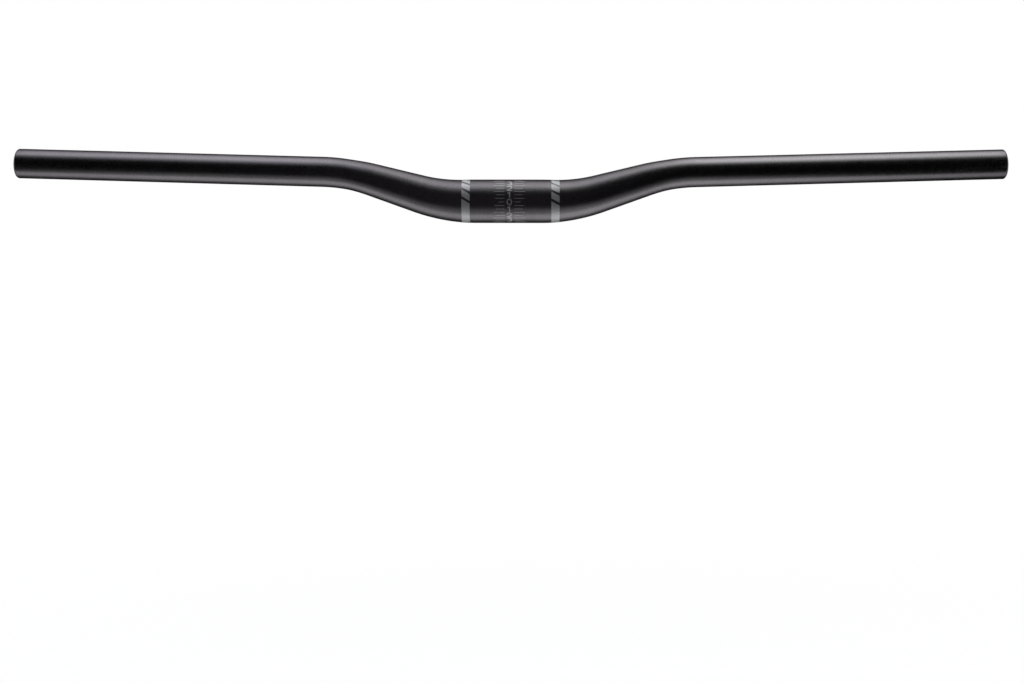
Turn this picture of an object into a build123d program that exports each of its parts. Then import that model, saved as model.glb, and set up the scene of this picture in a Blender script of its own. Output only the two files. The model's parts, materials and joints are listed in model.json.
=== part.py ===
"""Riser handlebar: one aluminium tube, tapered and butted, then bent.

Millimetres. The origin is the centre of the stem clamp zone. +X runs along the clamp axis, +Y points
to the rear, the way the grips sweep back, and +Z points up.
"""
import os
from math import atan2, hypot, radians, tan

from build123d import *

# Across the tube
clamp_diameter = 31.8      # middle zone that the stem grips, a bicycle standard
grip_diameter = 22.2       # ends that carry grips and levers, a bicycle standard
clamp_wall = 2.6           # wall of the middle zone
grip_wall = 2.0            # wall of the ends, and of the far end of each taper

# Along the tube
bar_width = 740.0          # between the centres of the two end faces
clamp_length = 57.0        # straight middle zone, from bend to bend
taper_length = 89.5        # along the bent axis, from the middle zone to the full grip size

# The bent axis, as corners that are rounded to the bend radii
riser_run = 70.8           # sideways, from the lower corner to the upper corner
riser_height = 21.0        # upward, from the lower corner to the upper corner
riser_setback = 5.0        # rearward, from the lower corner to the upper corner
lower_bend_radius = 127.0  # beside the middle zone
upper_bend_radius = 144.0  # beside the grip
backsweep = 9.0            # degrees that each grip turns to the rear
upsweep = 1.6              # degrees that each grip turns upward

# The end faces
end_outer_share = 0.75     # of the wall, rounded off on the outer edge
end_inner_share = 0.5      # of the wall that is left, rounded off on the inner edge

clamp_radius = clamp_diameter / 2
grip_radius = grip_diameter / 2
clamp_bore_radius = clamp_radius - clamp_wall
grip_bore_radius = grip_radius - grip_wall
end_outer_round = end_outer_share * grip_wall
end_inner_round = end_inner_share * (grip_wall - end_outer_round)

# The lower bend begins where the middle zone ends, so its corner lies one tangent length further out
middle = Vector(0, 0, 0)
riser_angle = atan2(hypot(riser_setback, riser_height), riser_run)
lower_tangent = lower_bend_radius * tan(riser_angle / 2)
lower_corner = Vector(clamp_length / 2 + lower_tangent, 0, 0)
upper_corner = lower_corner + Vector(riser_run, riser_setback, riser_height)
grip_run = bar_width / 2 - upper_corner.X
grip_setback = grip_run * tan(radians(backsweep))
grip_climb = grip_run * tan(radians(upsweep))
end_centre = upper_corner + Vector(grip_run, grip_setback, grip_climb)

os.makedirs("parts", exist_ok=True)

# The axis of one half, from the middle of the bar to the end face on the +X side
with BuildLine() as axis:
    FilletPolyline(middle, lower_corner, upper_corner, end_centre,
                   radius=(lower_bend_radius, upper_bend_radius))

half_length = axis.wire().length
taper_start = clamp_length / 2 / half_length
taper_end = taper_start + taper_length / half_length
clamp_axis = axis.wire().trim(0, taper_start)
taper_axis = axis.wire().trim(taper_start, taper_end)
grip_axis = axis.wire().trim(taper_end, 1)
middle_plane = Plane(origin=clamp_axis @ 0, z_dir=clamp_axis % 0)
taper_plane = Plane(origin=taper_axis @ 0, z_dir=taper_axis % 0)
grip_plane = Plane(origin=grip_axis @ 0, z_dir=grip_axis % 0)

# The outside of one half: a straight zone, a taper that follows both bends, and the grip
with BuildPart() as outside:
    with BuildSketch(middle_plane):
        Circle(clamp_radius)
    sweep(path=clamp_axis)
    with BuildSketch(taper_plane):
        Circle(clamp_radius)
    with BuildSketch(grip_plane):
        Circle(grip_radius)
    sweep(path=taper_axis, multisection=True)
    with BuildSketch(grip_plane):
        Circle(grip_radius)
    sweep(path=grip_axis)

# The hollow of one half, on the same axis
with BuildPart() as hollow:
    with BuildSketch(middle_plane):
        Circle(clamp_bore_radius)
    sweep(path=clamp_axis)
    with BuildSketch(taper_plane):
        Circle(clamp_bore_radius)
    with BuildSketch(grip_plane):
        Circle(grip_bore_radius)
    sweep(path=taper_axis, multisection=True)
    with BuildSketch(grip_plane):
        Circle(grip_bore_radius)
    sweep(path=grip_axis)

# The whole tube, with its end faces rounded like a turned cut
with BuildPart() as handlebar:
    add(outside.part)
    add(hollow.part, mode=Mode.SUBTRACT)
    end_face = handlebar.faces().filter_by(GeomType.PLANE).sort_by(Axis.X)[-1]
    fillet(end_face.edges().sort_by(SortBy.LENGTH)[-1], radius=end_outer_round)
    end_face = handlebar.faces().filter_by(GeomType.PLANE).sort_by(Axis.X)[-1]
    fillet(end_face.edges().sort_by(SortBy.LENGTH)[0], radius=end_inner_round)
    mirror(about=Plane.YZ)

handlebar.part.label = "handlebar"
export_step(handlebar.part, "parts/handlebar.step")
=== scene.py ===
# %% [markdown]
# # A riser handlebar
#
# A riser handlebar is one aluminium tube. It is thick in the middle, where a stem clamps it, and thin
# at the ends, where the grips go. Two bends on each side lift the ends above the middle and sweep
# them back. The tube is blasted with fine beads, anodised black and printed with a grey scale.
#
# The CAD model is loaded first and stays fixed, so that every piece made here has a place to sit.

# %% Load the CAD frame
import json

import bpy
import numpy as np
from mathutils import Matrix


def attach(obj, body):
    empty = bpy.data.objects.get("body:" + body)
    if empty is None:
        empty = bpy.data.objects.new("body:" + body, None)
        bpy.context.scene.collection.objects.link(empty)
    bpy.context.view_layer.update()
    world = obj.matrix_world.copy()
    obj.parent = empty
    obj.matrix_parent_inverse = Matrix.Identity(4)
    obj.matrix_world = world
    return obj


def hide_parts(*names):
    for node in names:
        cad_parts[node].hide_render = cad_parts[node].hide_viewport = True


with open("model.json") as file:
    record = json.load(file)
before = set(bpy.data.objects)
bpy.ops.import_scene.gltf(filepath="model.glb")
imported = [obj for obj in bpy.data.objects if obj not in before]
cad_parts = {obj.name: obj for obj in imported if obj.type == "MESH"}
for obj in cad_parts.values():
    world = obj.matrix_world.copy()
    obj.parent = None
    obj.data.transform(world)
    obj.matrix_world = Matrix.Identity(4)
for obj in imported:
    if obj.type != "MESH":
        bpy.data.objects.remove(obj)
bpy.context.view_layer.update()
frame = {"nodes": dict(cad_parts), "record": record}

print("CAD nodes:", sorted(frame["nodes"]))

# %% [markdown]
# ## The bent axis
#
# The real tube is bent round dies, so its centre line is made of straight runs with round bends
# between them. A curve object could be drawn through the corners, but its bends would not be true
# circles. Here the line is worked out from the sizes that a workshop would use: the lengths and
# directions of the runs, and the radii of the bends.
#
# The sizes that a stem, a grip or a plug has to fit are read from the CAD record, which lists them
# with its mounts. The others are written here. All are in millimetres.

# %% Sizes of the axis
fits = {mount["name"]: mount["dims"] for mount in frame["record"]["mounts"]}
CLAMP_LENGTH = fits["stem_clamp"]["length_mm"]    # straight middle, from bend to bend
RISE = np.array([70.8, 5.0, 21.0])                # from the lower corner to the upper corner
LOWER_BEND, UPPER_BEND = 127.0, 144.0             # bend radii
BACKSWEEP, UPSWEEP = np.radians(9.0), np.radians(1.6)
HALF_WIDTH = 370.0                                # from the middle to an end face
print("The middle is straight for", CLAMP_LENGTH, "mm, and the ends are", 2 * HALF_WIDTH, "mm apart")


# %% Directions of the runs
def unit(vectors):
    """Each vector divided by its own length."""
    return vectors / np.linalg.norm(vectors, axis=-1, keepdims=True)


clamp_way = np.array([1.0, 0.0, 0.0])
riser_way = unit(RISE)
grip_way = unit(np.array([1.0, np.tan(BACKSWEEP), np.tan(UPSWEEP)]))
lower_turn = np.arccos(clamp_way @ riser_way)
upper_turn = np.arccos(riser_way @ grip_way)
print("The bends turn %.2f and %.2f degrees" % tuple(np.degrees([lower_turn, upper_turn])))

# %% [markdown]
# A round bend cuts its corner. It uses up a length of R tan(turn / 2) of the straight runs on both
# sides, and is itself R times the turn long. Adding up what is left of the runs and the lengths of
# the bends, from the middle outwards, gives the distance at which each of them starts.

# %% Where each run and bend starts
lower_tangent = LOWER_BEND * np.tan(lower_turn / 2)
upper_tangent = UPPER_BEND * np.tan(upper_turn / 2)
riser_length = np.linalg.norm(RISE) - lower_tangent - upper_tangent
upper_corner = CLAMP_LENGTH / 2 + lower_tangent + RISE[0]        # how far sideways it lies
grip_length = (HALF_WIDTH - upper_corner) / grip_way[0] - upper_tangent
LOWER_START, RISER_START, UPPER_START, GRIP_START, HALF_LENGTH = np.cumsum([
    CLAMP_LENGTH / 2, LOWER_BEND * lower_turn, riser_length, UPPER_BEND * upper_turn, grip_length])
print("Half of the axis is %.1f mm long, the grip starts at %.1f mm" % (HALF_LENGTH, GRIP_START))

# %% [markdown]
# A bend starts along one direction and turns towards a second one, at right angles to the first.
# After an angle t it has moved R sin t along the first and R (1 - cos t) along the second. So the
# point at a distance s from the middle is a sum, in which each run and each bend is followed as far
# as s reaches into it. The left half of the bar is the mirror image of the right half.

# %% Points of the axis
MIRROR = np.array([-1.0, 1.0, 1.0])
lower_normal = unit(riser_way - (riser_way @ clamp_way) * clamp_way)
upper_normal = unit(grip_way - (grip_way @ riser_way) * riser_way)


def turned(far, start, radius, turn):
    """Angle turned in a bend: the distance past its start over its radius, from 0 to its whole turn."""
    return np.clip((far - start) / radius, 0, turn)


def bend(radius, angle, along, towards):
    """Movement along a circle: R sin(angle) along its start, R (1 - cos(angle)) towards its centre."""
    return radius * (np.sin(angle) * along + (1 - np.cos(angle)) * towards)


def axis_point(s):
    """Point of the axis at distance s from the middle: the sum of the five movements followed so far.

    No movement is followed further than its own length. For negative s, x changes its sign.
    """
    far = np.abs(s)[..., None]
    lower = turned(far, LOWER_START, LOWER_BEND, lower_turn)
    upper = turned(far, UPPER_START, UPPER_BEND, upper_turn)
    point = np.minimum(far, LOWER_START) * clamp_way
    point = point + bend(LOWER_BEND, lower, clamp_way, lower_normal)
    point = point + np.clip(far - RISER_START, 0, riser_length) * riser_way
    point = point + bend(UPPER_BEND, upper, riser_way, upper_normal)
    point = point + np.maximum(far - GRIP_START, 0) * grip_way
    return np.where(s[..., None] < 0, MIRROR * point, point)


print("End of the axis, in mm:", axis_point(np.array([HALF_LENGTH]))[0].round(2))


# %% Directions of the axis
def axis_way(s):
    """Direction of the axis at s: cos(angle) along a bend's start plus sin(angle) towards its centre.

    Before a bend the angle is 0 and after it the whole turn, so the straight runs need no case of
    their own. For negative s, y and z change their signs, because the axis runs from left to right.
    """
    far = np.abs(s)[..., None]
    lower = turned(far, LOWER_START, LOWER_BEND, lower_turn)
    upper = turned(far, UPPER_START, UPPER_BEND, upper_turn)
    inner_part = np.cos(lower) * clamp_way + np.sin(lower) * lower_normal
    outer_part = np.cos(upper) * riser_way + np.sin(upper) * upper_normal
    way = np.where(far < UPPER_START, inner_part, outer_part)
    return np.where(s[..., None] < 0, -MIRROR * way, way)


print("Direction at the right end:", axis_way(np.array([HALF_LENGTH]))[0].round(4))

# %% [markdown]
# ## The thickness along the axis
#
# The outside is 31.8 mm across in the middle and 22.2 mm at the grips, and it narrows evenly between
# them. Swaging dies leave no sharp line where a taper starts, so its two corners are rounded a
# little. The hollow narrows in the same way, and the wall is thicker in the middle. A curve object
# could be given a thickness at each of its points, but a formula for the radius also tells the print
# where the skin is.

# %% Radii
CLAMP_RADIUS, GRIP_RADIUS = fits["stem_clamp"]["r_mm"], fits["right_grip"]["r_mm"]
CLAMP_BORE, GRIP_BORE = 13.3, fits["right_end_bore"]["r_mm"]
TAPER_LENGTH = 89.5          # along the bent axis, from where the lower bend starts
CORNER = 5.0                 # half the length over which a corner of the taper is rounded


def rounded_ramp(x):
    """0 before -CORNER and x after CORNER, joined by a parabola: CORNER t squared, t from 0 to 1."""
    t = np.clip((x + CORNER) / (2 * CORNER), 0, 1)
    return CORNER * t * t + np.maximum(x - CORNER, 0)


def taper(s, middle, end):
    """Radius at s: the middle's radius, and from the taper's start an even change to the end's."""
    past = np.abs(s) - CLAMP_LENGTH / 2
    share = (rounded_ramp(past) - rounded_ramp(past - TAPER_LENGTH)) / TAPER_LENGTH
    return middle + (end - middle) * share


def outer_radius(s):
    """Radius of the outside at s: the taper from the clamp zone's radius to the grip's."""
    return taper(s, CLAMP_RADIUS, GRIP_RADIUS)


probes = np.array([0.0, 60.0, 200.0])
print("Outer radius", outer_radius(probes).round(3), "at", probes, "mm")

# %% [markdown]
# ## Points around the axis
#
# A point on the tube needs a distance s, a radius and an angle. The angle is 0 at the front, the side
# that faces forward on a bicycle, 90 degrees at the top and 180 degrees at the rear. The front and
# the top turn with the axis, so that a cross-section is always a true circle. Blender's Spin tool
# also carries a profile round an axis, but only round a straight one.

# %% From distance, radius and angle to a point
UPRIGHT = np.array([0.0, 0.0, 1.0])


def ring_point(s, radius, angle):
    """Axis point at s plus a spoke: radius times (cos(angle) times front plus sin(angle) times top)."""
    way = axis_way(s)
    top = unit(UPRIGHT - way[..., 2:] * way)
    front = np.cross(way, top)
    spoke = np.cos(angle)[..., None] * front + np.sin(angle)[..., None] * top
    return axis_point(s) + radius[..., None] * spoke


clamp_top = ring_point(np.zeros(1), np.full(1, CLAMP_RADIUS), np.full(1, np.pi / 2))[0]
print("Top of the clamp zone, in mm:", clamp_top.round(3))

# %% [markdown]
# ## From a grid of points to a mesh
#
# Every piece is a grid of points: rows along the tube, columns around it. Four neighbours make one
# face. Where a grid runs back into itself, the first row or column is used again after the last, so
# the seam has no gap and no doubled points. Several grids can share one mesh. Ready-made cylinders
# could be joined and bent instead, but their seams would have to be merged afterwards.

# %% Faces of a grid
def grid_faces(rows, columns, close_rows=False, close_columns=False):
    """Corner numbers of a grid's faces: a point, the next along, the one across, and the next around."""
    number = np.arange(rows * columns).reshape(rows, columns)
    if close_rows:
        number = np.concatenate([number, number[:1]], axis=0)
    if close_columns:
        number = np.concatenate([number, number[:, :1]], axis=1)
    corners = [number[:-1, :-1], number[1:, :-1], number[1:, 1:], number[:-1, 1:]]
    return np.stack(corners, axis=-1).reshape(-1, 4)


print("A grid of 3 by 4 points has", len(grid_faces(3, 4)), "faces")
print("Closed both ways, it has", len(grid_faces(3, 4, close_rows=True, close_columns=True)))

# %% Grids to meshes
MM = 0.001                   # metres


def mesh_piece(name, grids, material, smooth=True, **closing):
    """One object from a list of point grids in millimetres, joined end to end in one mesh."""
    counts = np.cumsum([0] + [grid.shape[0] * grid.shape[1] for grid in grids])
    points = np.concatenate([grid.reshape(-1, 3) for grid in grids]) * MM
    faces = [grid_faces(*grid.shape[:2], **closing) + first for grid, first in zip(grids, counts)]
    mesh = bpy.data.meshes.new(name)
    mesh.from_pydata(points, [], np.concatenate(faces))
    mesh.polygons.foreach_set("use_smooth", np.full(len(mesh.polygons), smooth))
    mesh.materials.append(material)
    mesh.validate()
    piece = bpy.data.objects.new(name, mesh)
    bpy.context.scene.collection.objects.link(piece)
    print(name, "has", len(mesh.vertices), "points and", len(mesh.polygons), "faces")
    return piece


print("Grids are in mm and meshes in m, so", 2 * HALF_WIDTH, "mm become", 2 * HALF_WIDTH * MM, "m")

# %% [markdown]
# ## Shader sums
#
# A material in Blender is a net of nodes. Sums are hard to read there, so a small class wraps one
# socket and lets Python's own signs add the Math nodes: 1 - mask makes a Subtract node. Every other
# node comes from the method called node, which sets the node's settings before its sockets, because
# some settings change which sockets there are.

# %% A socket that takes part in sums
class Wire:
    """An output socket of a node. A wire without a socket only knows its node tree."""

    def __init__(self, tree, socket=None):
        self.tree, self.socket = tree, socket

    def node(self, kind, settings=None, sockets=None, out=0):
        """Adds a node of this kind, sets its settings, then its sockets, and returns one output."""
        made = self.tree.nodes.new(kind)
        for name, value in (settings or {}).items():
            setattr(made, name, value)
        for name, value in (sockets or {}).items():
            if isinstance(value, Wire):
                self.tree.links.new(value.socket, made.inputs[name])
            else:
                made.inputs[name].default_value = value
        return Wire(self.tree, made.outputs[out] if len(made.outputs) else None)

    def beside(self, name):
        """Another output of the same node."""
        return Wire(self.tree, self.socket.node.outputs[name])

    def sum(self, operation, left, right):
        """A Math node of two numbers or sockets."""
        return self.node("ShaderNodeMath", {"operation": operation}, {0: left, 1: right})

    def __add__(self, other):
        return self.sum("ADD", self, other)

    def __radd__(self, other):
        return self.sum("ADD", other, self)

    def __sub__(self, other):
        return self.sum("SUBTRACT", self, other)

    def __rsub__(self, other):
        return self.sum("SUBTRACT", other, self)

    def __mul__(self, other):
        return self.sum("MULTIPLY", self, other)

    def __rmul__(self, other):
        return self.sum("MULTIPLY", other, self)

    def blend_colours(self, first, second):
        """A Mix node between two colours, this socket being the share of the second."""
        return self.node("ShaderNodeMix", {"data_type": "RGBA"}, {0: self, 6: first, 7: second}, out=2)


print("Wire adds, subtracts, multiplies and blends colours")


# %% First and last nodes of a finish
def start_nodes(owner):
    """Empties the node tree of a material, a lamp or the world, and returns a wire to start from."""
    owner.use_nodes = True
    owner.node_tree.nodes.clear()
    return Wire(owner.node_tree)


def new_finish(name):
    """An empty material and a wire to start its nodes from."""
    material = bpy.data.materials.new(name)
    return material, start_nodes(material)


def close_finish(start, kind, sockets):
    """The last two nodes of a material: a shader of this kind with its sockets, and the output."""
    shader = start.node(kind, {}, sockets)
    start.node("ShaderNodeOutputMaterial", {}, {"Surface": shader})
    print("A finish of", len(start.tree.nodes), "nodes, whose shader gets", ", ".join(sockets))


print("Materials so far:", len(bpy.data.materials), "from the CAD model")

# %% [markdown]
# ## Dents from the beads
#
# The tube was blasted with fine beads, which left dents about a third of a millimetre across. They
# scatter the shine and make it sparkle a little, also through the thin ink. A picture of dents would
# have to be wrapped round the tube and would show a seam. Noise fills the whole space instead, and
# it reads the object's own coordinates, so the dents stay on the metal from every side.
#
# Most values of the noise lie between 0.3 and 0.7, so they are stretched to run from 0 to 1.

# %% Noise and dents
BEAD_SIZE, DENT_DEPTH = 0.34, 0.03       # mm
NOISE_DETAIL, NOISE_ROUGHNESS = 2.0, 0.55
USUAL_LOW, USUAL_HIGH = 0.3, 0.7         # where most of the noise's values lie


def lumps(place, size):
    """Noise with lumps of about this size in mm: (noise - USUAL_LOW) / (USUAL_HIGH - USUAL_LOW)."""
    noise = place.node("ShaderNodeTexNoise", {}, {
        "Vector": place, "Scale": 1 / (size * MM), "Detail": NOISE_DETAIL, "Roughness": NOISE_ROUGHNESS})
    return noise.node("ShaderNodeMapRange", {}, {
        "Value": noise, "From Min": USUAL_LOW, "From Max": USUAL_HIGH})


def dents(beads, strength):
    """Normals tilted by the beads' noise, as a height of DENT_DEPTH, weakened to this strength."""
    return beads.node("ShaderNodeBump", {}, {
        "Strength": strength, "Distance": DENT_DEPTH * MM, "Height": beads})


print("About %.0f dents side by side make up a centimetre" % (10 / BEAD_SIZE))

# %% [markdown]
# ## Black anodised aluminium
#
# Anodising turns the skin of the metal into clear oxide, and the dye sits in its pores. The finish is
# therefore metal seen through a dark filter: a metallic shader with a nearly black colour, and a
# darker tint at grazing angles. The dye is a little uneven over patches of some millimetres. The
# colour is also painted darker in the bead dents and lighter on their crests, as painted shade and
# sparkle of the dents. A black plastic paint would have been simpler, but its shine would be white at
# the edges, and the real bar has dark edges.

# %% The black finish
DYE_PATCH = 9.0                          # mm across
# Painted shade and sparkle: the colour is darker in the bead dents and lighter on their crests.
BLACK_DENT_PAINTED_SHADE, BLACK_CREST_PAINTED_SPARKLE = (0.072, 0.068, 0.072, 1.0), (0.160, 0.152, 0.160, 1.0)
BLACK_EDGE = (0.25, 0.24, 0.26, 1.0)     # tint at grazing angles
BLACK_PAINTED_DENT_LIGHT_SHARE, BLACK_BUMP = 0.9, 0.14              # of the colour, and strength of the dents
BLACK_ROUGHNESS, BEAD_ROUGHNESS, DYE_ROUGHNESS = 0.25, 0.06, 0.02     # least, and what each adds

black_anodised, start = new_finish("blasted_black")
place = start.node("ShaderNodeTexCoord", out="Object")
beads, dye = lumps(place, BEAD_SIZE), lumps(place, DYE_PATCH)
# Mostly the painted shade and sparkle of the bead dents, with a little of the dye's real unevenness.
shade = BLACK_PAINTED_DENT_LIGHT_SHARE * beads + (1 - BLACK_PAINTED_DENT_LIGHT_SHARE) * dye
close_finish(start, "ShaderNodeBsdfPrincipled", {
    "Base Color": shade.blend_colours(BLACK_DENT_PAINTED_SHADE, BLACK_CREST_PAINTED_SPARKLE),
    "Metallic": 1.0,
    "Roughness": BLACK_ROUGHNESS + BEAD_ROUGHNESS * beads + DYE_ROUGHNESS * dye,
    "Normal": dents(beads, BLACK_BUMP),
    "Specular Tint": BLACK_EDGE})

# %% [markdown]
# ## Grey printing ink
#
# The scale and the bands are pad printed with a cool grey ink. Fine metal flakes in it catch the light,
# so it is pale in the bright lines along the tube and much darker between them. A half metallic
# shader does the same, where plain paint would stay grey all over. The ink is thin, so the bead dents
# under it still show as a fine speckle in its bumps, and its colour is painted darker in the dents and
# lighter on their crests, as painted shade and sparkle. It also covers a little unevenly.

# %% The ink
COVER_PATCH = 2.5                        # mm across
# Painted shade and sparkle: the ink is darker in the bead dents and lighter on their crests, and also
# thinner or fuller where it really covers unevenly.
INK_THIN_PAINTED_SHADE, INK_FULL_PAINTED_SPARKLE = (0.25, 0.255, 0.260, 1.0), (0.42, 0.428, 0.436, 1.0)
INK_PAINTED_DENT_LIGHT_SHARE, INK_BUMP = 0.75, 0.18    # of the colour, and strength of the dents
INK_METAL = 0.5
INK_ROUGHNESS, SPECKLE_ROUGHNESS = 0.36, 0.08         # least, and what the dents add

grey_ink, start = new_finish("grey_ink")
place = start.node("ShaderNodeTexCoord", out="Object")
beads, cover = lumps(place, BEAD_SIZE), lumps(place, COVER_PATCH)
# Mostly the painted shade and sparkle of the bead dents, with some of the ink's real uneven cover.
shade = INK_PAINTED_DENT_LIGHT_SHARE * beads + (1 - INK_PAINTED_DENT_LIGHT_SHARE) * cover
close_finish(start, "ShaderNodeBsdfPrincipled", {
    "Base Color": shade.blend_colours(INK_THIN_PAINTED_SHADE, INK_FULL_PAINTED_SPARKLE),
    "Metallic": INK_METAL,
    "Roughness": INK_ROUGHNESS + SPECKLE_ROUGHNESS * beads,
    "Normal": dents(beads, INK_BUMP)})

# %% [markdown]
# ## The tube
#
# The wall is one closed surface. Its profile, a list of distances and radii, runs along the outside
# from the middle to the right end, round the two soft edges of the end face, back along the hollow,
# and then the same way on the left. Carrying that profile round the axis gives the whole tube with
# no separate lips or caps, which a bent cylinder would need. Rows are closer together in the bends
# than on the straight runs.

# %% The profile of the right half
OUTER_EDGE, INNER_EDGE = 1.5, 0.25                # rounding of the end face's two edges
CLAMP_ROWS, BEND_ROWS, GRIP_ROWS = 8, 124, 40     # rows along each stretch
OUTER_EDGE_ROWS, INNER_EDGE_ROWS = 9, 5


def quarter_turn(count):
    """Angles from 0 to 90 degrees."""
    return np.linspace(0, np.pi / 2, count)


stretch_ends = [0, LOWER_START - CORNER, GRIP_START, HALF_LENGTH - OUTER_EDGE]
stretches = zip(stretch_ends[:-1], stretch_ends[1:], [CLAMP_ROWS, BEND_ROWS, GRIP_ROWS])
straight_s = np.concatenate([np.linspace(*stretch, endpoint=False) for stretch in stretches])
outer_arc, inner_arc = quarter_turn(OUTER_EDGE_ROWS), quarter_turn(INNER_EDGE_ROWS)
profile_s = np.concatenate([
    straight_s,
    HALF_LENGTH - OUTER_EDGE + OUTER_EDGE * np.sin(outer_arc),
    HALF_LENGTH - INNER_EDGE + INNER_EDGE * np.cos(inner_arc),
    straight_s[::-1]])
profile_r = np.concatenate([
    outer_radius(straight_s),
    GRIP_RADIUS - OUTER_EDGE + OUTER_EDGE * np.cos(outer_arc),
    GRIP_BORE + INNER_EDGE - INNER_EDGE * np.sin(inner_arc),
    taper(straight_s, CLAMP_BORE, GRIP_BORE)[::-1]])
print("The profile runs from s = 0 out to %.1f mm and back" % profile_s.max())

# %% Carry the whole profile round the axis
AROUND = 120                             # points around the tube
wall_s = np.concatenate([profile_s, -profile_s[1:-1][::-1]])
wall_r = np.concatenate([profile_r, profile_r[1:-1][::-1]])
angles = np.linspace(0, 2 * np.pi, AROUND, endpoint=False)
s_grid, angle_grid = np.meshgrid(wall_s, angles, indexing="ij")
wall = ring_point(s_grid, np.repeat(wall_r[:, None], AROUND, axis=1), angle_grid)
tube = mesh_piece("bent_tube", [wall], black_anodised, close_rows=True, close_columns=True)
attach(tube, "root")
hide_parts("handlebar")

# %% [markdown]
# ## Where the print sits
#
# Print follows the skin, but it was laid out on a flat sheet: its upright edges stay upright when
# seen from the front, although the bends already start under the bands. So a printed point is given
# by its sideways place x and its angle. The distance s that lands on that x is found by trying s = x
# and adding what is missing, a few times. A Shrinkwrap modifier could press a flat sheet onto the
# tube, but not all the way round it.

# %% Places on the skin
INK_SINK = 0.012                         # mm, how far the grids lie under the skin
CORRECTIONS = 6


def skin_point(x, angle):
    """Point just under the outside at sideways place x: s is x, corrected by the missing x each time."""
    x, angle = np.broadcast_arrays(x, angle)
    s = np.array(x, dtype=float)
    for _ in range(CORRECTIONS):
        s = s + x - ring_point(s, outer_radius(s), angle)[..., 0]
    return ring_point(s, outer_radius(s) - INK_SINK, angle)


BAND_PROBE = np.array([35.0])            # mm, about where a band is
miss = skin_point(BAND_PROBE, np.zeros(1))[0, 0] - BAND_PROBE[0]
print("A printed point lands within %.4f mm of its place" % abs(miss))

# %% [markdown]
# Each printed shape is a grid a hair under the skin. A Solidify modifier gives it a thickness of a
# few hundredths of a millimetre, so that it is a closed slab and stands just proud of the metal. The
# slab is shaded flat, because smooth shading would tilt the light at its rims and spoil thin lines.
# The print could also be a pattern in the tube's material, but then it would be no piece of its own.

# %% A printed piece
INK_THICKNESS = 0.036                    # mm


def print_piece(name, grids):
    """A printed piece: the grids, thickened outwards, riding on the tube's body."""
    piece = mesh_piece(name, grids, grey_ink, smooth=False)
    slab = piece.modifiers.new("ink", "SOLIDIFY")
    slab.thickness = INK_THICKNESS * MM
    slab.offset = 1.0
    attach(piece, "root")


print("Ink stands %.3f mm proud" % (INK_THICKNESS - INK_SINK))

# %% [markdown]
# ## The two bands
#
# A grey band marks each end of the clamp zone. From below it is a plain ring. Towards the top it
# breaks into blocks with slanting ends, and both bands slant the same way. Each block is a grid whose
# lower and upper limits fall by the same angle from its left side to its right side. Boolean cuts
# could slant the ends of a plain ring too, but they would leave long, uneven faces.

# %% Bands
BAND_WIDTH, BAND_COLUMNS = 5.95, 9       # mm, and points across it
RING_FOOT = -168.0                       # degrees, where the ring starts, low on the rear
BLOCK_COUNT, BLOCK_PITCH, BLOCK_GAP = 4, 26.1, 7.3    # pitch and gap in degrees
BAND_SLANT = 12.8                        # degrees by which a block's ends fall across the band
FACE_TURN = 1.5                          # degrees around the tube that one face covers
BANDS = {                                # middle in mm, top of the ring in degrees
    "left_band": (-31.1, 0.0),
    "right_band": (34.35, -5.9),
}


def band_block(middle, low, high):
    """Grid of a slanting block: x across the band, and low to high degrees less the slant's share at x."""
    share = np.linspace(-0.5, 0.5, BAND_COLUMNS)[:, None]
    climb = np.linspace(low, high, int((high - low) / FACE_TURN))[None, :]
    return skin_point(middle + BAND_WIDTH * share, np.radians(climb - BAND_SLANT * share))


for name, (middle, ring_top) in BANDS.items():
    tops = ring_top + BLOCK_PITCH * np.arange(BLOCK_COUNT + 1)
    feet = np.append(RING_FOOT, tops[:-1] + BLOCK_GAP)
    print_piece(name, [band_block(middle, low, high) for low, high in zip(feet, tops)])

# %% [markdown]
# ## The scale
#
# Fine lines on both sides of a middle column show how far the bar is turned in its stem. The line at
# zero is the shortest, and from there every second line is long. An Array modifier could repeat one
# line round the tube, but these lines have several lengths. So all the lines of one side are worked
# out as one block of numbers: which line, how far along it, and how far across it.

# %% Scale lines
COLUMN = 0.8                             # mm, sideways place of the middle column
ZERO_ANGLE, PITCH = np.radians(-1.7), np.radians(9.5)
LINE_LENGTHS = np.array([4.6, 7.1, 6.1, 7.9, 6.3, 8.0, 6.3, 8.2, 6.3])   # mm, from the zero line on
LINE_WIDTH, LINE_START = 0.34, 3.6       # mm, thickness, and distance from the column
POINTS_ALONG, POINTS_ACROSS = 5, 3

steps = np.arange(1 - len(LINE_LENGTHS), len(LINE_LENGTHS))[:, None, None]
along = np.linspace(0, 1, POINTS_ALONG)[None, :, None]
across = np.linspace(-0.5, 0.5, POINTS_ACROSS)[None, None, :]
reach = LINE_START + LINE_LENGTHS[np.abs(steps)] * along
line_angle = ZERO_ANGLE + PITCH * steps + across * LINE_WIDTH / CLAMP_RADIUS
right_lines = skin_point(COLUMN + reach, line_angle)
left_lines = skin_point(COLUMN - reach[:, ::-1], line_angle)
print_piece("scale_lines", [*right_lines, *left_lines])

# %% [markdown]
# ## The numbers
#
# Plain numbers stand in the middle column, one for every second line: 0 at the front and then 1, 2
# and 3 upwards and downwards. A text object would be flat, and bending it round the tube would need
# far more points than a number this small deserves. So each number is drawn as a pen would draw it:
# a path on the flat sheet, widened to the pen's width and then laid on the skin.

# %% Pen strokes
PEN = 0.74                               # mm
ARC_POINTS, LINE_POINTS = 25, 6


def pen_arc(centre_y, half_width, half_height, first, last, count=ARC_POINTS):
    """Path round an ellipse, in degrees: (half width times cos, centre + half height times sin)."""
    turn = np.radians(np.linspace(first, last, count))
    return np.stack([half_width * np.cos(turn), centre_y + half_height * np.sin(turn)], axis=-1)


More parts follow.
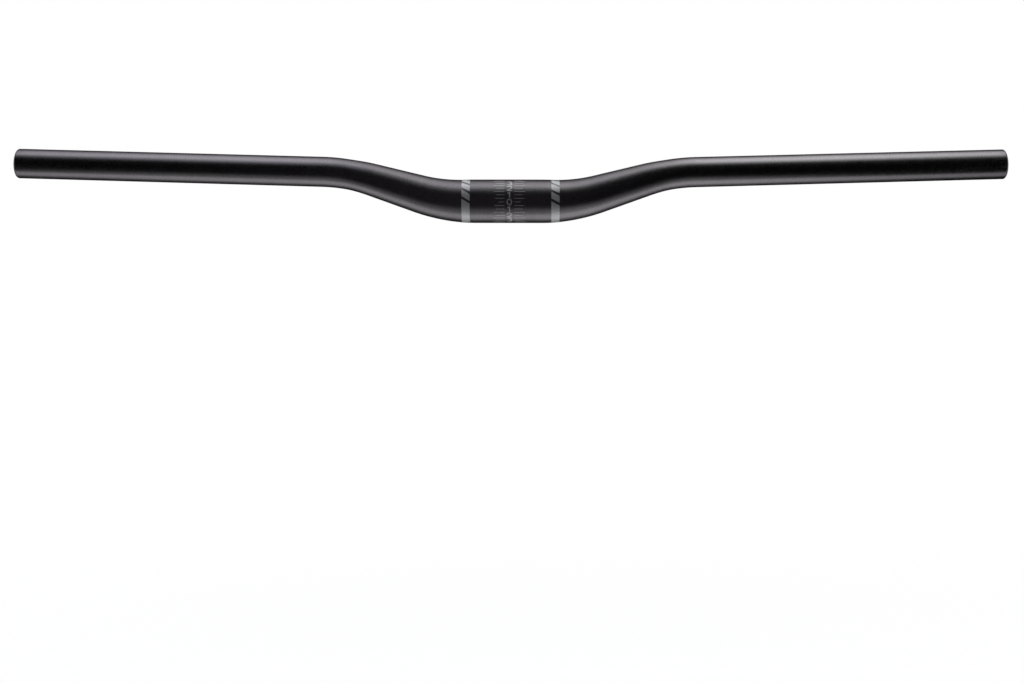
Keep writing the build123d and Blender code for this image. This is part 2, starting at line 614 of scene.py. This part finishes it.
def pen_line(first, last):
    """Straight path: the first point plus even shares of the way to the last."""
    return np.linspace(first, last, LINE_POINTS)


def pen_stroke(path):
    """Grid of a widened path: each point moved half the pen's width to the right and left of its way."""
    way = unit(np.gradient(path, axis=0))
    left_side = np.stack([-way[:, 1], way[:, 0]], axis=-1)
    shares = np.linspace(-0.5, 0.5, POINTS_ACROSS)
    return path[:, None, :] + shares[None, :, None] * PEN * left_side[:, None, :]


print("A pen stroke of one line has", pen_stroke(pen_line((0, 0), (1, 0))).shape[:2], "points")

# %% Paths of the numbers
NUMBER_HEIGHT, NUMBER_WIDTH = 4.0, 3.3   # mm
LOOP_POINTS = 41
w, h = NUMBER_WIDTH / 2, NUMBER_HEIGHT / 2            # paths are drawn in shares of these

bow_of_two = pen_arc(0.42 * h, w, 0.58 * h, 165, -35)
stem_of_two = pen_line((0.62 * w, -0.05 * h), (-w, -0.9 * h))
NUMBERS = {
    0: [pen_arc(0, w, h, 90, 450, LOOP_POINTS)],
    1: [pen_line((-0.75 * w, 0.5 * h), (0.1 * w, 0.95 * h)), pen_line((0.1 * w, h), (0.1 * w, -h))],
    2: [np.concatenate([bow_of_two, stem_of_two]), pen_line((-w, -0.95 * h), (w, -0.95 * h))],
    3: [pen_arc(0.47 * h, 0.88 * w, 0.53 * h, 150, -90), pen_arc(-0.5 * h, w, 0.5 * h, 90, -150)],
}
print("Strokes in each number:", {number: len(paths) for number, paths in NUMBERS.items()})

# %% Numbers on the skin
LINES_PER_NUMBER = 2
number_grids = []
for step in range(1 - len(NUMBERS), len(NUMBERS)):
    for path in NUMBERS[abs(step)]:
        stroke = pen_stroke(path)
        angle = ZERO_ANGLE + LINES_PER_NUMBER * PITCH * step + stroke[..., 1] / CLAMP_RADIUS
        number_grids.append(skin_point(COLUMN + stroke[..., 0], angle))
print_piece("scale_numbers", number_grids)

# %% [markdown]
# ## The camera
#
# The bar is seen from the front, level with its middle and very slightly from the right, from nearly
# two metres away with a long lens. The bar stands in the upper part of the picture, so the camera is
# tilted down a little. A shifted lens would do the same, but would also shift every other view.

# %% Camera
DISTANCE, AROUND_RIGHT = 1.8, np.radians(0.963)       # metres, and the angle from straight ahead
ROLL = np.radians(0.055)
PICTURE_WIDTH, PICTURE_HEIGHT = 1024, 683             # pixels
MIDDLE_PIXEL = (508.6, 201.28)           # where the middle of the bar comes in the picture
PIXELS_PER_METRE = 1362.0                # at the distance of the clamp zone
FOCAL_PIXELS = PIXELS_PER_METRE * DISTANCE
SENSOR_WIDTH = 36.0                      # mm

camera_data = bpy.data.cameras.new("camera")
camera_data.sensor_width = SENSOR_WIDTH
camera_data.lens = FOCAL_PIXELS / PICTURE_WIDTH * SENSOR_WIDTH
camera = bpy.data.objects.new("camera", camera_data)
camera.location = (DISTANCE * np.sin(AROUND_RIGHT), -DISTANCE * np.cos(AROUND_RIGHT), 0.0)
tilt = np.arctan((PICTURE_HEIGHT / 2 - MIDDLE_PIXEL[1]) / FOCAL_PIXELS)
aim = np.arctan((PICTURE_WIDTH / 2 - MIDDLE_PIXEL[0]) / FOCAL_PIXELS)
camera.rotation_euler = (np.pi / 2 - tilt, -ROLL, AROUND_RIGHT - aim)
bpy.context.scene.collection.objects.link(camera)
bpy.context.scene.camera = camera
print("Lens %.1f mm, tilted down %.2f degrees" % (camera_data.lens, np.degrees(tilt)))

# %% [markdown]
# ## Soft light
#
# A dark shiny tube shows little but reflections of what is around it. Two soft boxes hang side by side
# above the bar, and their reflections join in the bright line along its upper part. The right one is
# brighter. Two dimmer boxes lie below and give the second line. A faint glow from the camera's side
# keeps the middle of the tube from going quite black. One large lamp would be simpler, but its line
# would be equally bright all the way along.
#
# A real soft box is brightest near its bulb and fades towards its edges, so its reflection has no hard
# border. A rectangular lamp in Blender has places u and v across it, which run from 0 to 1, and its
# own nodes can fade it with them. The camera does not see the boxes.

# %% A soft box
def fade(place):
    """1 in the middle and 0 at both edges: (1 - t squared) squared, where t runs from -1 to 1."""
    t = 2 * place - 1
    hill = 1 - t * t
    return hill * hill


def soft_box(name, low, high, facing, brightness, tint):
    """A fading lamp between two corners in metres: its power is brightness times pi times its area."""
    low, high = np.array(low), np.array(high)
    width, depth = (high - low)[high > low]
    data = bpy.data.lights.new(name, "AREA")
    data.shape, data.size, data.size_y = "RECTANGLE", width, depth
    data.energy, data.color = brightness * np.pi * width * depth, tint
    start = start_nodes(data)
    u = start.node("ShaderNodeSeparateXYZ", {}, {"Vector": start.node("ShaderNodeTexCoord", out="UV")})
    light = start.node("ShaderNodeEmission", {}, {"Strength": fade(u) * fade(u.beside("Y"))})
    start.node("ShaderNodeOutputLight", {}, {"Surface": light})
    lamp = bpy.data.objects.new(name, data)
    lamp.location, lamp.rotation_euler = (low + high) / 2, facing
    lamp.visible_camera = False
    bpy.context.scene.collection.objects.link(lamp)
    print(name, "is %.2f by %.2f m and uses %.1f W" % (width, depth, data.energy))


print("Fading leaves %.0f %% of a box's light" % (100 * fade(np.linspace(0, 1, 101)).mean() ** 2))

# %% [markdown]
# Neighbouring boxes overlap, so that their lines join. They hang at slightly different heights,
# because in one plane they would hide each other in reflections. Lamps are seldom quite white: the
# upper left box is a little cool, the upper right one faintly green, and the glow a little purple.

# %% Five soft boxes
DOWN, UP, TO_THE_REAR = (0.0, 0.0, 0.0), (np.pi, 0.0, 0.0), (np.pi / 2, 0.0, 0.0)
WHITE, COOL = (1.0, 1.0, 1.0), (0.96, 0.98, 1.05)
GREENISH, PURPLISH = (0.98, 1.01, 0.98), (1.08, 0.95, 1.08)
SOFT_BOXES = {                           # two corners in metres, facing, brightness, tint
    "upper_left_box": ((-1.06, -0.85, 0.92), (0.19, 0.99, 0.92), DOWN, 2.08, COOL),
    "upper_right_box": ((-0.10, -0.64, 0.90), (0.98, 0.90, 0.90), DOWN, 3.80, GREENISH),
    "lower_left_box": ((-0.96, -0.77, -0.45), (0.40, 0.77, -0.45), UP, 0.685, WHITE),
    "lower_right_box": ((-0.08, -0.77, -0.44), (0.54, 0.77, -0.44), UP, 0.89, WHITE),
    "camera_side_glow": ((-0.48, -0.36, -0.45), (0.33, -0.36, 0.45), TO_THE_REAR, 0.060, PURPLISH),
}
for name, box in SOFT_BOXES.items():
    soft_box(name, *box)

# %% [markdown]
# ## Dark cards
#
# With white all round, the tube would look pale grey from edge to edge. Photographers put dark cards
# round a shiny thing, out of the picture, to draw its dark core and its dark edges. Here the cards
# leave two openings: one above, where the white of the room adds to the upper boxes, and a narrow
# one below, where the floor adds to the lower boxes. Dimming the whole room instead would darken the
# background too. Only reflections see the cards, so they take no light away.

# %% Cards
CARD_COLOUR = (0.002, 0.002, 0.002, 1.0)
CARDS = {                                # half the width, then y and z of the two long edges, in metres
    "front_card": (2.5, (-1.20, -0.48), (-1.20, 1.00)),
    "top_card": (2.5, (-1.20, 1.00), (-0.245, 1.00)),
    "front_foot_card": (1.4, (-1.20, -0.48), (-0.138, -0.48)),
    "back_foot_card": (1.4, (0.20, -0.48), (0.90, -0.48)),
    "back_card": (1.4, (0.90, -0.48), (0.90, 0.54)),
}


def card(name, side, low, high, material):
    """A flat card from -side to side, between two long edges given by y and z: a grid of two by two."""
    corners = [[(-side, *low), (side, *low)], [(-side, *high), (side, *high)]]
    piece = mesh_piece(name, [np.array(corners) / MM], material)
    return piece


card_black, start = new_finish("card_black")
close_finish(start, "ShaderNodeBsdfDiffuse", {"Color": CARD_COLOUR})
for name, sizes in CARDS.items():
    piece = card(name, *sizes, card_black)
    piece.visible_camera = piece.visible_diffuse = piece.visible_transmission = False
    piece.visible_volume_scatter = piece.visible_shadow = False

# %% [markdown]
# ## Floor and background
#
# The background is white paper. Lighting paper until it is white would put too much light on the bar,
# so the floor and the world are given their white directly, for the rays that come from the camera
# and from reflections. For all other rays the world is a dim, even fill. Near the bar the lamps
# already give the floor a good part of its white, so its own glow is lower there, and a soft shadow
# is not washed out.

# %% White for the rays that see it
FILL = 0.20                              # the world's brightness for all other rays


def seen_rays(start):
    """1 for rays from the camera, from reflections and through glass, and 0 for all others."""
    camera_ray = start.node("ShaderNodeLightPath", out="Is Camera Ray")
    return camera_ray + camera_ray.beside("Is Glossy Ray") + camera_ray.beside("Is Transmission Ray")


def grey(value):
    """A colour with the same value in red, green and blue."""
    return (value, value, value, 1.0)


print("Fill light is", FILL, "of white")

# %% Floor
FLOOR_SIZE, FLOOR_Z = 20.0, -0.50        # metres, from the middle to an edge, and its height
FLOOR_COLOUR, FLOOR_ROUGHNESS = 0.5, 0.9
LAMP_SHARE, LAMP_REACH = 0.18, 1.4       # white that the lamps give the floor, and how far in metres
LAMP_MIDDLE = (0.10, 0.15, FLOOR_Z)

floor_white, start = new_finish("floor_white")
away = start.node("ShaderNodeVectorMath", {"operation": "DISTANCE"}, {
    0: start.node("ShaderNodeTexCoord", out="Object"), 1: LAMP_MIDDLE}, out="Value")
lamp_light = start.sum("POWER", np.e, (-1 / LAMP_REACH ** 2) * (away * away))
far_white = 1 - FLOOR_COLOUR * FILL
own_white = lamp_light.blend_colours(grey(far_white), grey(far_white - LAMP_SHARE))
close_finish(start, "ShaderNodeBsdfPrincipled", {
    "Base Color": grey(FLOOR_COLOUR),
    "Roughness": FLOOR_ROUGHNESS,
    "Specular IOR Level": 0.0,
    "Emission Color": seen_rays(start).blend_colours(grey(0.0), own_white),
    "Emission Strength": 1.0})
card("floor", FLOOR_SIZE, (-FLOOR_SIZE, FLOOR_Z), (FLOOR_SIZE, FLOOR_Z), floor_white)

# %% World
world = bpy.data.worlds.new("studio")
bpy.context.scene.world = world
start = start_nodes(world)
background = start.node("ShaderNodeBackground", {}, {
    "Color": grey(1.0), "Strength": FILL + (1 - FILL) * seen_rays(start)})
start.node("ShaderNodeOutputWorld", {}, {"Surface": background})
bpy.context.scene.view_settings.view_transform = "Standard"
print("The world has", len(world.node_tree.nodes), "nodes")
